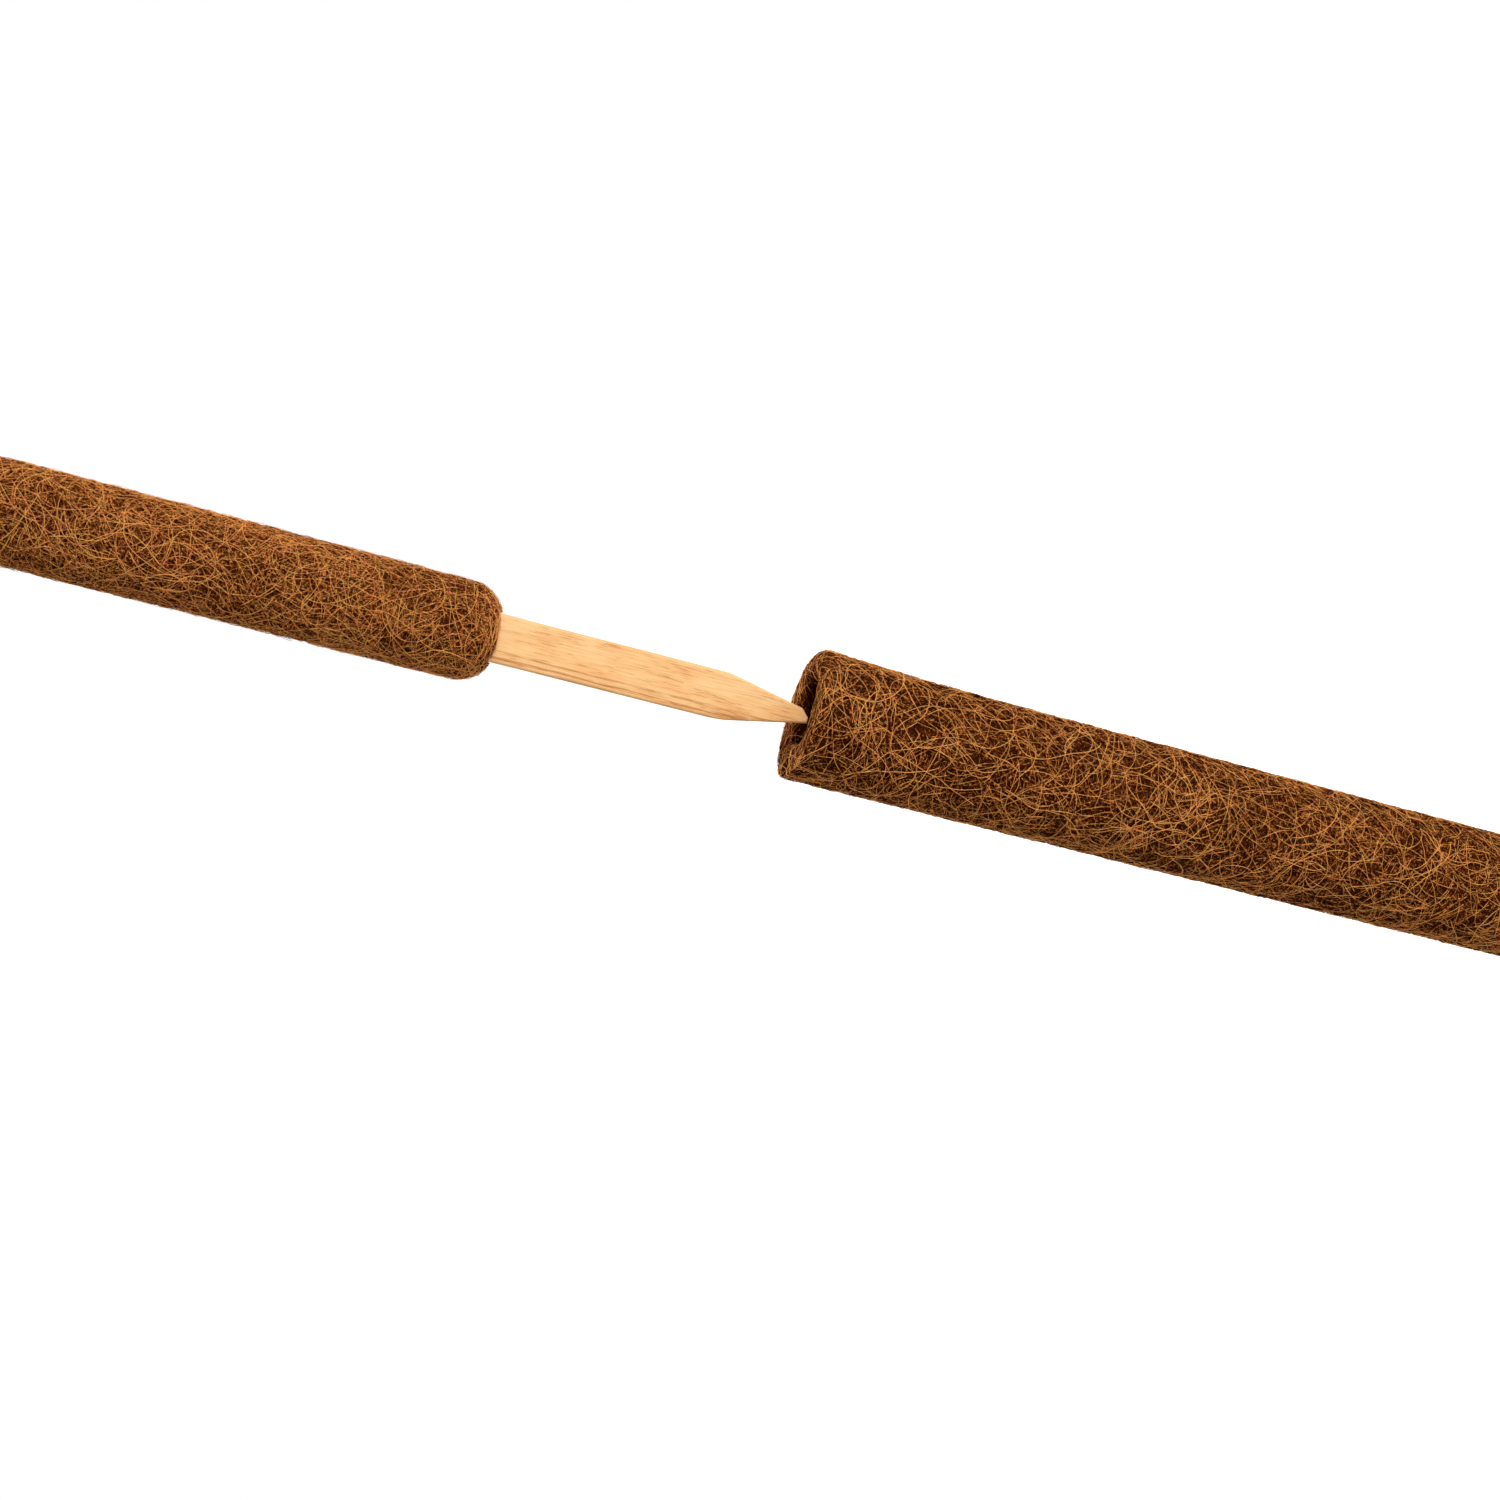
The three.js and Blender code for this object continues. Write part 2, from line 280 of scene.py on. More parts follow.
class Section:
    """One coir section's sizes, read from the frame, and the shape of its outside.

    Only the lower section's mouth is cut by hand, with a slant, a curl, a flare and a spread slot.
    """

    def __init__(self, name, mats):
        core_low, core_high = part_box(f"{name}_core_mat")
        self.name = name
        self.body = f"{name}_section"
        self.mats = mats
        self.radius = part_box(f"{name}_cover_mat")[1].x
        self.core_radius = core_high.x
        self.foot = core_low.z - mats.foot_thickness - mats.fit
        self.mouth = self.foot + mats.coir_length
        self.middle = (self.foot + self.mouth) / 2
        self.stake_low, self.stake_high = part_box(f"{name}_stake")
        by_hand = 1.0 if name == LOWER else 0.0
        self.slope = math.tan(mats.mouth_slant) * by_hand
        self.curl = mats.mouth_curl * by_hand
        self.flare = mats.mouth_flare * by_hand
        self.corner = mats.mouth_corner * by_hand
        self.spread = mats.slot_spread * by_hand
        self.staples = [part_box(f"{name}_staple_{end}") for end in STAPLE_PLACES]
        side = math.tau * self.radius * mats.coir_length
        end = math.pi * self.radius**2
        socket = 4 * (self.stake_high.x + self.stake_high.y) * mats.socket_depth
        self.areas = np.array([side, FOOT_SHARE * end, MOUTH_SHARE * end, socket])

    def mouth_rise(self, x):
        """How far the end of the section stands above its level mouth."""
        return self.curl * (x / self.radius) ** 2 - self.slope * x

    def lean(self, points):
        """How far the side of the section stands out past its plain radius, near the mouth."""
        x, y, z = points.T
        fading = np.exp(-np.maximum(self.mouth - z, 0) / self.mats.flare_depth)
        return self.flare * sidedness(x, y) * fading

    def slot_reach(self, height):
        """Middle and half widths of the socket, or of the hole for the stake, at a height."""
        spread = self.spread * np.clip(1 - (self.mouth - height) / self.mats.spread_depth, 0, None)
        room = np.where(height > self.middle, self.mats.slot_room, 0)
        return spread / 2, self.stake_high.x + room + spread / 2, self.stake_high.y + room

    def slot_distance(self, points):
        """Signed distance from the socket's walls: negative inside the socket."""
        corner = self.mats.slot_corner
        middle, half_x, half_y = self.slot_reach(points[:, 2])
        across = np.abs(points[:, 0] - middle) - half_x + corner
        through = np.abs(points[:, 1]) - half_y + corner
        outside = np.hypot(np.maximum(across, 0), np.maximum(through, 0))
        return outside + np.minimum(np.maximum(across, through), 0) - corner

    def distance(self, points):
        """Signed distance from the outside of the coir, with its socket."""
        x, y, z = points.T
        upper = z > self.middle
        rim = self.mats.rim_rounding + self.corner * sidedness(x, y)
        rounding = np.where(upper, rim, self.mats.foot_rounding)
        lip = np.where(upper, self.mats.lip_rounding, self.mats.foot_lip)
        across = np.hypot(x, y) - self.radius - self.lean(points) + rounding
        along = np.where(upper, z - self.mouth - self.mouth_rise(x), self.foot - z) + rounding
        outside = np.hypot(np.maximum(across, 0), np.maximum(along, 0))
        drum = outside + np.minimum(np.maximum(across, along), 0) - rounding
        socket = -self.slot_distance(points)
        near = np.maximum(lip - np.abs(drum - socket), 0)
        return np.maximum(drum, socket) + near**2 / (4 * lip)

    def socket_depth(self, points):
        """How far below the mouth each point of the socket's walls lies, and 0 elsewhere."""
        depth = self.mouth + self.mouth_rise(points[:, 0]) - points[:, 2]
        walls = self.slot_distance(points) < WALL_REACH
        return np.where(walls & (points[:, 2] > self.middle), np.maximum(depth, 0), 0)

    def normal(self, points):
        """Direction straight out of the coir at each point."""
        steps = np.eye(3) * PROBE
        slope = np.stack([self.distance(points + s) - self.distance(points - s) for s in steps], axis=1)
        return slope / np.maximum(np.linalg.norm(slope, axis=1, keepdims=True), SMALLEST)

    def settle(self, points):
        """Moves points onto the outside of the coir, and gives their normals too."""
        for _ in range(SETTLE_PASSES):
            normal = self.normal(points)
            points = points - self.distance(points)[:, None] * normal
        return points, normal

    def bury(self, points, depth):
        """Moves points in until they lie at least so deep under the outside of the coir."""
        for _ in range(SETTLE_PASSES):
            push = np.maximum(self.distance(points) + depth, 0)
            points = points - push[:, None] * self.normal(points)
        return points

    def seeds(self, count, draw):
        """Points spread evenly over the side, the foot, the mouth and the top of the socket.

        Steps of the plastic ratio keep each new point away from the ones before it.
        """
        shares = np.cumsum(self.areas / self.areas.sum())
        zone = np.searchsorted(shares[:SOCKET], np.arange(count) / count)
        order = np.arange(count) + draw.uniform(-SEED_JITTER, SEED_JITTER, count)
        turn = math.tau * ((order / PLASTIC_RATIO + draw.uniform()) % 1)
        share = (order / PLASTIC_RATIO**2 + draw.uniform()) % 1
        reach = np.where(zone == SIDE, self.radius, self.radius * np.sqrt(share))
        heights = [self.foot + share * self.mats.coir_length, self.foot, self.mouth]
        socket = self.mouth - share * self.mats.socket_depth
        points = np.empty((count, 3))
        points[:, 0] = np.cos(turn) * np.where(zone == SOCKET, self.stake_high.x, reach)
        points[:, 1] = np.sin(turn) * np.where(zone == SOCKET, self.stake_high.y, reach)
        points[:, 2] = np.select([zone == SIDE, zone == FOOT, zone == MOUTH], heights, socket)
        return points

    def kept_free(self, points, fibres):
        """True where no fibre may lie: deep in the socket, at the stake, on the seam and at the staples."""
        in_slot = self.slot_distance(points) < SLOT_MARGIN
        below_mouth = points[:, 2] < self.mouth - self.mats.socket_depth
        above_foot = points[:, 2] > self.foot + self.mats.foot_thickness / 2
        free = in_slot & below_mouth & above_foot
        at_back = points[:, 1] > self.radius / 2
        free |= at_back & (np.abs(points[:, 0]) < fibres.seam_gap)
        for low, high in self.staples:
            reach = np.abs(points[:, 0]) < high.x + STAPLE_MARGIN
            level = np.abs(points[:, 2] - (low.z + high.z) / 2) < fibres.staple_room
            free |= at_back & reach & level
        return free


class FibreLayer(NamedTuple):
    """One layer of fibres: how many, how deep, how long and how pale.

    Cover is millimetres of fibre on each square millimetre of mat, and depths, lengths and steps are in
    millimetres too. Tones run from 0.2 for a dark fibre to 0.95 for the palest, and reach past both. Girth is
    the share of the middling radius, and loose the share of fibres with a loose end.
    """

    name: str
    cover: float
    depths: tuple
    lengths: tuple
    step: float
    tones: tuple
    girth: float
    loose: float


# The nap on top gets far paler tones than the layers under it: partly painted light on the top fibres and
# painted shade under them, besides the fibres' own mixed tones.
LAYERS = (
    FibreLayer("ground", 2.60, (0.55, 1.00), (6, 16), 2.45, (0.24, 0.80), 1.00, 0.0),
    FibreLayer("bed", 2.85, (0.36, 0.80), (6, 18), 2.45, (0.20, 0.92), 0.94, 0.0),
    FibreLayer("matted", 2.75, (0.20, 0.60), (7, 20), 2.50, (-0.02, 1.06), 0.86, 0.0),
    FibreLayer("tangle", 2.50, (0.08, 0.44), (8, 24), 2.35, (-0.16, 1.26), 0.80, 0.0),
    FibreLayer("nap", 0.90, (0.00, 0.26), (14, 38), 1.60, (0.94, 1.80), 0.94, 0.02),
)


def draw_fibres(section, layer, fibres, draw):
    """Draws a layer's fibres on a section: the points of each, and the radius and tone at each point."""
    fine = fibres.upper_fineness if section.name == UPPER else 1.0
    step = layer.step * MM
    shortest, longest = (span * MM * fine for span in layer.lengths)
    cover = layer.cover / MM / fine
    count = int(cover * section.areas.sum() / ((shortest + longest) / 2))
    points, normal = section.settle(section.seeds(count, draw))
    spans = draw.uniform(shortest, longest, count)
    heading = np.cross(normal, draw.normal(size=(count, 3)))
    reach = np.maximum(np.hypot(points[:, 0], points[:, 1]), MM)
    around = np.cross((0, 0, 1), points) / reach[:, None]
    above = np.maximum(points[:, 2] - section.foot, 0)
    gather = FOOT_TURN * np.exp(-above / section.mats.foot_gather)
    heading += around * (np.sum(heading * around, axis=1) * gather)[:, None]
    heading /= np.linalg.norm(heading, axis=1, keepdims=True)
    curl = np.minimum(fibres.curl, fibres.turn / spans) * draw.uniform(-1, 1, count)
    sway = fibres.sway * draw.uniform(-1, 1, count)
    wave = math.tau / draw.uniform(*SWAY_LENGTHS, count)
    phase = draw.uniform(0, math.tau, count)

    def bend(i):
        return curl + sway * np.sin(wave * i * step + phase)

    steps = int(spans.max() / step) + 1
    track, lifts, stops = walk_fibres(section, fibres, points, normal, heading, bend, step, steps)
    sizes = np.minimum(stops, (spans / step).astype(int) + 1)
    depth = draw.uniform(*layer.depths, count) * MM
    weave = math.tau / draw.uniform(*WEAVE_LENGTHS, count)
    loose = draw.uniform(0, 1, count) < layer.loose
    middling = layer.girth * fine * fibres.radius
    radius = middling * (1 + fibres.radius_spread * draw.uniform(-1, 1, count))
    tone = draw.uniform(*layer.tones, count)
    if section.name == LOWER:
        tone -= fibres.lower_shade * np.maximum(fibres.pale_tone - tone, 0)
    found = []
    for i in np.flatnonzero(sizes >= FEWEST_POINTS):
        path = track[: sizes[i], i]
        lift = lifts[: sizes[i], i]
        height = fibre_height(fibres, path, lift, step, depth[i], weave[i], phase[i], loose[i])
        thickness = np.full(sizes[i], radius[i])
        thickness[[0, -1]] = 0
        # Painted shade: each fibre point on the socket's walls is darkened with its depth, for the shadow
        # inside the slot.
        shade = fibres.socket_painted_shade * np.minimum(section.socket_depth(path) / fibres.socket_fade, 1)
        found.append((path + lift * height[:, None], thickness, tone[i] - shade))
    return found


def walk_fibres(section, fibres, points, normal, heading, bend, step, steps):
    """Takes fibres step by step over the coir: their tracks, their normals and where each has to stop."""
    track = np.empty((steps, len(points), 3))
    lifts = np.empty((steps, len(points), 3))
    closed = np.zeros((steps, len(points)), bool)
    for i in range(steps):
        track[i] = points
        lifts[i] = normal
        closed[i] = section.kept_free(points, fibres)
        heading = heading + np.cross(normal, heading) * (bend(i)[:, None] * step)
        points, normal = section.settle(points + heading * step)
        heading -= np.sum(heading * normal, axis=1, keepdims=True) * normal
        heading /= np.linalg.norm(heading, axis=1, keepdims=True)
    return track, lifts, np.where(closed.any(axis=0), closed.argmax(axis=0), steps)


def fibre_height(fibres, path, lift, step, depth, weave, phase, loose):
    """How high a fibre lies on the coir at each of its points. It weaves, and its ends are tucked in."""
    run = np.arange(len(path)) * step
    ends = np.minimum(run, run[::-1])
    height = -depth + fibres.weave * np.sin(weave * run + phase)
    height -= fibres.tuck * np.exp(-ends / TUCK_LENGTH)
    height -= fibres.end_sink * np.abs(lift[:, 2])
    height += fibres.lumps * lumps(path)
    if loose:
        height += LOOSE_LIFT * fibres.tuck * np.exp(-run[::-1] / LOOSE_LENGTH)
    return height


def lumps(points):
    """Slow unevenness of the mats, from about -1 to 1: three crossing waves, in radians per millimetre."""
    x, y, z = (points / MM).T
    first = np.sin(0.55 * x + 0.31 * z)
    second = np.sin(0.47 * y - 0.27 * z + 1.3)
    third = np.sin(0.71 * z + 0.4 * x)
    return (first + second + third) / 3


class Value:
    """A shader socket that Python arithmetic turns into Math nodes."""

    def __init__(self, shader, socket):
        self.shader = shader
        self.socket = socket

    def math(self, operation, first, second):
        return self.shader.node("ShaderNodeMath", {"operation": operation}, {0: first, 1: second})

    def __add__(self, other):
        return self.math("ADD", self, other)

    def __radd__(self, other):
        return self.math("ADD", other, self)

    def __sub__(self, other):
        return self.math("SUBTRACT", self, other)

    def __rsub__(self, other):
        return self.math("SUBTRACT", other, self)

    def __mul__(self, other):
        return self.math("MULTIPLY", self, other)

    def __rmul__(self, other):
        return self.math("MULTIPLY", other, self)


class Shader:
    """A material or world, and one way to add nodes to it."""

    def __init__(self, data):
        data.use_nodes = True
        self.tree = data.node_tree
        self.tree.nodes.clear()

    def node(self, kind, settings=None, inputs=None, output=0):
        """Adds a node, with its settings first and then its sockets' values or links."""
        made = self.tree.nodes.new(kind)
        for name, setting in (settings or {}).items():
            if name == "stops":
                self.set_stops(made.color_ramp, setting)
            else:
                setattr(made, name, setting)
        for name, given in (inputs or {}).items():
            if isinstance(given, Value):
                self.tree.links.new(given.socket, made.inputs[name])
            else:
                made.inputs[name].default_value = given
        return Value(self, made.outputs[output]) if made.outputs else None

    @staticmethod
    def set_stops(ramp, stops):
        while len(ramp.elements) < len(stops):
            ramp.elements.new(0.5)
        for element, (position, shade) in zip(ramp.elements, stops):
            element.position = position
            element.color = shade

    def noise(self, scale, detail=3.0, rough=0.55, turn=(0, 0, 0)):
        """Noise whose scale is given for each axis, per millimetre of the object's own coordinates."""
        spot = self.node("ShaderNodeTexCoord", output="Object")
        size = tuple(s / MM for s in scale)
        laid = self.node("ShaderNodeMapping", inputs={"Vector": spot, "Rotation": turn, "Scale": size})
        given = {"Vector": laid, "Scale": 1.0, "Detail": detail, "Roughness": rough}
        return self.node("ShaderNodeTexNoise", inputs=given)

    def between(self, value, low, high):
        """0 below low, 1 above high, smooth between."""
        given = {"Value": value, "From Min": low, "From Max": high}
        return self.node("ShaderNodeMapRange", {"interpolation_type": "SMOOTHSTEP"}, given)

    def mix(self, share, first, second):
        """A colour between two others. A Mix node's colour sockets are its seventh and eighth."""
        return self.node("ShaderNodeMix", {"data_type": "RGBA"}, {0: share, 6: first, 7: second}, 2)

    def bump(self, height, strength, distance):
        given = {"Height": height, "Strength": strength, "Distance": distance}
        return self.node("ShaderNodeBump", inputs=given)

    def surface(self, **inputs):
        """A Principled surface, with sockets named in words joined by underscores."""
        given = {name.replace("_", " "): value for name, value in inputs.items()}
        made = self.node("ShaderNodeBsdfPrincipled", inputs=given)
        self.node("ShaderNodeOutputMaterial", inputs={"Surface": made})


def opaque(shade):
    return (*shade, 1.0)


def new_material(name):
    material = bpy.data.materials.new(name)
    return material, Shader(material)


def fibre_finish(finishes):
    """Dull brown fibre whose shade comes from its own tone and breaks up along it."""
    material, shader = new_material("coir_fibre")
    tone = shader.node("ShaderNodeAttribute", {"attribute_name": "tone"}, output="Fac")
    patches = shader.noise((0.11, 0.11, 0.11), detail=2.0)
    flecks = shader.noise((1.3, 1.3, 1.3), detail=1.0)
    broken = 3.0 - 2.0 * shader.between(tone, 0.45, 0.95)
    shade = tone + (patches - 0.5) * 0.06 + (flecks - 0.5) * broken
    golden = fibre_ramp(shader, shade, finishes, finishes.fibre_light)
    russet = fibre_ramp(shader, shade, finishes, finishes.fibre_russet)
    hue = shader.between(shader.noise((0.45, 0.45, 0.45), detail=1.0), 0.42, 0.60)
    brown = shader.mix(hue, golden, russet)
    shader.surface(Base_Color=brown, Roughness=0.65, Specular_IOR_Level=0.02)
    return material


def fibre_ramp(shader, shade, finishes, palest):
    """From a dark fibre over a brown one to the palest."""
    stops = [
        (0.2, opaque(finishes.fibre_dark)),
        (0.6, opaque(finishes.fibre_mid)),
        (0.95, opaque(palest)),
    ]
    return shader.node("ShaderNodeValToRGB", {"stops": stops}, {"Fac": shade}, "Color")


def felt_finish(finishes):
    """Brown matted felt that shows between the fibres. Its dark colours are partly painted shade for the gaps
    between them.
    """
    material, shader = new_material("coir_felt")
    strands = shader.noise((1.6, 1.6, 0.7), detail=4.0, rough=0.65)
    crossed = shader.noise((0.8, 0.8, 2.0), detail=4.0, rough=0.65, turn=(0.6, 0.3, 0))
    pile = strands * 0.5 + crossed * 0.5
    share = shader.between(pile, 0.40, 0.62)
    brown = shader.mix(share, opaque(finishes.felt_dark), opaque(finishes.felt_light))
    rough = shader.bump(pile, 0.8, 0.4 * MM)
    shader.surface(Base_Color=brown, Roughness=0.9, Specular_IOR_Level=0.02, Normal=rough)
    return material


def wood_finish(finishes):
    """Bare pale wood with grain along the stake, brown lines beside one edge and short pores."""
    material, shader = new_material("stake_wood")
    lean = (0, math.radians(1.4), 0)
    bands = shader.noise((0.16, 0.16, 0.012), detail=2.0, turn=lean)
    grain = shader.noise((2.2, 2.2, 0.06), detail=5.0, rough=0.7, turn=lean)
    pores = shader.noise((4.4, 4.4, 0.15), detail=2.0, rough=0.6, turn=lean)
    streaks = shader.noise((0.9, 0.9, 0.03), detail=5.0, rough=0.65, turn=lean)
    clouds = shader.noise((0.16, 0.16, 0.06), detail=3.0)
    spot = shader.node("ShaderNodeTexCoord", output="Object")
    across = shader.node("ShaderNodeSeparateXYZ", inputs={"Vector": spot}, output="X")
    beside = 1 - shader.between(across, *STREAKED_SIDE)
    # Painted shade: a brown band along the +X edge, where the rounded arris is.
    edge = shader.between(across, *SHADED_ARRIS)
    warm = shader.between(bands * 0.4 + clouds * 0.6, 0.42, 0.60)
    tint = shader.mix(warm * 0.85, opaque(finishes.wood_pale), opaque(finishes.wood_warm))
    fine = shader.between(grain, 0.45, 0.62)
    tint = shader.mix(fine * 0.60, tint, opaque(finishes.wood_grain))
    first, second = (wood_line(shader, across, bands, *line) for line in WOOD_LINES)
    broken = shader.between(pores, 0.36, 0.56)
    streak = shader.between(streaks, 0.50, 0.66) * beside
    brown = streak * 0.40 + (first + second) * broken * 0.85 + beside * 0.10 + edge * 0.20
    tint = shader.mix(brown, tint, opaque(finishes.wood_streak))
    pore = shader.between(pores + (clouds - 0.5) * 0.6, 0.60, 0.68)
    tint = shader.mix(pore * 0.64, tint, opaque(finishes.wood_pore))
    relief = grain * 0.6 - pore * 0.5 - streak * 0.3
    rough = shader.bump(relief, 0.35, 0.12 * MM)
    shader.surface(Base_Color=tint, Roughness=0.55 + fine * 0.15, Specular_IOR_Level=0.25, Normal=rough)
    return material


def wood_line(shader, across, sway, spot, half_width):
    """A soft line along the grain that wanders sideways a little: 1 on it, 0 beside it."""
    aside = across - spot + (sway - 0.5) * LINE_WANDER
    return 1 - shader.between(aside * aside, 0.0, half_width**2)


def steel_finish(finishes):
    """Galvanised wire with dull spots."""
    material, shader = new_material("staple_steel")
    spots = shader.noise((1.2, 1.2, 1.2), detail=3.0)
    dull = shader.between(spots, 0.40, 0.65)
    tint = shader.mix(dull, opaque(finishes.steel), opaque(finishes.steel_dull))
    shader.surface(Base_Color=tint, Metallic=1.0, Roughness=0.32 + dull * 0.25)
    return material


def add_piece(mesh, body, material):
    """Puts a finished mesh into the scene as a piece that rides on a body."""
    piece = bpy.data.objects.new(mesh.name, mesh)
    bpy.context.scene.collection.objects.link(piece)
    mesh.materials.clear()
    mesh.materials.append(material)
    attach(piece, body)
    return piece


def finish_mesh(bm, mesh, smooth=True):
    """Writes a bmesh to a mesh, with its faces pointing outwards."""
    bmesh.ops.recalc_face_normals(bm, faces=bm.faces)
    for face in bm.faces:
        face.smooth = smooth
    bm.to_mesh(mesh)
    bm.free()
    return mesh


def round_ring(radius, height):
    """A circle at a height, as a function of the turn round the axis."""
    return lambda turn: Vector((radius * math.cos(turn), radius * math.sin(turn), height))


def slot_ring(section, height, spare):
    """The socket's outline at a height, grown by a spare width, as a function of the turn."""
    middle, half_x, half_y = (float(size) for size in section.slot_reach(height))

    def spot(turn):
        x, y = math.cos(turn), math.sin(turn)
        share_x = abs(x / (half_x + spare)) ** SLOT_SQUARENESS
        share_y = abs(y / (half_y + spare)) ** SLOT_SQUARENESS
        reach = (share_x + share_y) ** (-1 / SLOT_SQUARENESS)
        return Vector((middle + x * reach, y * reach, height))

    return spot


def foot_ring(section, share):
    """A ring on the gathered foot's felt, from the stake's outline at 0 to the wrap's side at 1."""
    mats = section.mats
    centre = section.radius - mats.foot_rounding
    curve = mats.foot_rounding - mats.felt_depth
    outline = slot_ring(section, section.foot, 0)

    def spot(turn):
        start = outline(turn).xy.length
        reach = start + (centre + curve - start) * share
        over = min(max(reach - centre, 0), curve)
        height = section.foot + mats.foot_rounding - math.sqrt(curve**2 - over**2)
        return Vector((reach * math.cos(turn), reach * math.sin(turn), height))

    return spot


def ringed_mat(name, section, rings):
    """A closed mat: one ring drawn through all the others and joined back to the first."""
    bm = bmesh.new()
    bmesh.ops.create_circle(bm, cap_ends=False, radius=1.0, segments=RING_SEGMENTS)
    turn = bm.verts.layers.float.new("turn")
    for vert in bm.verts:
        vert[turn] = math.atan2(vert.co.y, vert.co.x)
        vert.co = rings[0](vert[turn])
    first = list(bm.edges)
    edges = first
    for ring in rings[1:]:
        drawn = bmesh.ops.extrude_edge_only(bm, edges=edges)["geom"]
        edges = [g for g in drawn if isinstance(g, bmesh.types.BMEdge)]
        for vert in (g for g in drawn if isinstance(g, bmesh.types.BMVert)):
            vert.co = ring(vert[turn])
    bmesh.ops.bridge_loops(bm, edges=first + edges)
    at_mouth = [vert for vert in bm.verts if vert.co.z > section.middle]
    spots = np.array([vert.co for vert in at_mouth])
    spots[:, 2] += section.mouth_rise(spots[:, 0])
    reach = np.hypot(spots[:, 0], spots[:, 1]) / section.radius
    spots[:, :2] *= 1 + (reach * section.lean(spots) / section.radius)[:, None]
    for vert, spot in zip(at_mouth, section.bury(spots, section.mats.felt_depth / 2)):
        vert.co = spot
    bm.verts.layers.float.remove(turn)
    return finish_mesh(bm, bpy.data.meshes.new(name))


def cover_rings(section):
    """Rings of the outer wrap: its gathered foot, side, rim and inside, a little under the fibres."""
    mats = section.mats
    deep = mats.felt_depth
    inner = section.core_radius + mats.fit
    floor = section.foot + mats.foot_thickness
    shares = [math.sin(math.pi / 2 * i / ARC_SEGMENTS) for i in range(ARC_SEGMENTS + 1)]
    drops = [mats.flare_depth * share for share in SIDE_RINGS]
    near = RIM_NEAR * deep
    far = RIM_FAR * deep
    return [
        slot_ring(section, floor, 0),
        *(foot_ring(section, share) for share in shares),
        *(round_ring(section.radius - deep, section.mouth - drop) for drop in drops),
        round_ring(section.radius - deep, section.mouth - far),
        round_ring(section.radius - near, section.mouth - deep),
        round_ring(section.radius - deep, section.mouth - near),
        round_ring(section.radius - far, section.mouth - deep),
        round_ring(inner, section.mouth - deep),
        round_ring(inner, floor),
    ]


def core_rings(section):
    """Rings of the inner roll: its outside, top, socket and underside."""
    mats = section.mats
    deep = mats.felt_depth
    top = section.mouth - deep
    floor = section.foot + mats.foot_thickness + mats.fit
    return [
        round_ring(section.core_radius, floor),
        round_ring(section.core_radius, top),
        slot_ring(section, top, deep + mats.lip_rounding / 2),
        slot_ring(section, top - mats.lip_rounding, deep),
        slot_ring(section, section.mouth - mats.socket_depth, deep),
        slot_ring(section, section.mouth - 2 * mats.socket_depth, 0),
        slot_ring(section, floor, 0),
    ]


def fibre_outline():
    """The cross-section of a fibre, with a radius of 1."""
    outline = bpy.data.curves.new("fibre_outline", "CURVE")
    corners = outline.splines.new("POLY")
    corners.points.add(FIBRE_SIDES - 1)
    corners.use_cyclic_u = True
    for i, point in enumerate(corners.points):
        turn = math.tau * i / FIBRE_SIDES
        point.co = (math.cos(turn), math.sin(turn), 0, 1)
    return bpy.data.objects.new("fibre_outline", outline)


def fibre_tubes(name, found):
    """Draws the cross-section along every fibre, and gives all of them as one mesh."""
    outline = fibre_outline()
    bundle = bpy.data.curves.new(name, "CURVE")
    bundle.dimensions = "3D"
    bundle.bevel_mode = "OBJECT"
    bundle.bevel_object = outline
    for path, thickness, _ in found:
        spline = bundle.splines.new("POLY")
        spline.points.add(len(path) - 1)
        spline.points.foreach_set("co", np.column_stack([path, np.ones(len(path))]).ravel())
        spline.points.foreach_set("radius", thickness)
    tubes = bpy.data.objects.new(name + "_curve", bundle)
    for helper in (outline, tubes):
        bpy.context.scene.collection.objects.link(helper)
    bpy.context.view_layer.update()
    ready = tubes.evaluated_get(bpy.context.evaluated_depsgraph_get())
    mesh = bpy.data.meshes.new_from_object(ready)
    mesh.name = name
    for helper in (tubes, outline):
        bpy.data.objects.remove(helper)
    return mesh


def fibre_mesh(name, found):
    """One mesh of thin closed fibres, with their tones and a cell of the bake's map for each fibre."""
    mesh = fibre_tubes(name, found)
    counts = np.array([len(path) for path, _, _ in found])
    if len(mesh.vertices) != counts.sum() * FIBRE_SIDES:
        raise RuntimeError(f"{name}: the fibres' points and corners don't match")
    tones = np.concatenate([tone for _, _, tone in found]).repeat(FIBRE_SIDES)
    mesh.attributes.new("tone", "FLOAT", "POINT").data.foreach_set("value", tones)
    lay_out_map(mesh, counts)
    bm = bmesh.new()
    bm.from_mesh(mesh)
    bmesh.ops.remove_doubles(bm, verts=bm.verts, dist=MERGE_DISTANCE)
    return finish_mesh(bm, mesh)


def lay_out_map(mesh, counts):
    """Gives every fibre a cell of its own in the map that a bake uses, with its length up the cell.

    Every face is still a quad here, because the fibres' ends are closed later.
    """
    while mesh.uv_layers:
        mesh.uv_layers.remove(mesh.uv_layers[0])
    fibre = np.repeat(np.arange(len(counts)), counts * FIBRE_SIDES)
    ring = np.concatenate([np.arange(n) for n in counts]).repeat(FIBRE_SIDES)
    side = np.tile(np.arange(FIBRE_SIDES), counts.sum())
    corner = np.empty(len(mesh.loops), int)
    mesh.loops.foreach_get("vertex_index", corner)
    across = side[corner].reshape(-1, 4)
    last = (across == FIBRE_SIDES - 1).any(axis=1) & (across == 0).any(axis=1)
    across = np.where(last[:, None] & (across == 0), FIBRE_SIDES, across).ravel()
    columns = math.ceil(math.sqrt(len(counts)))
    margin = 0.08
    room = 1 - 2 * margin
    owner = fibre[corner]
    along = ring[corner] / (counts[owner] - 1)
    u = (owner % columns + margin + room * across / FIBRE_SIDES) / columns
    v = (owner // columns + margin + room * along) / columns
    layer = mesh.uv_layers.new(name="OFBake")
    layer.data.foreach_set("uv", np.column_stack([u, v]).ravel())


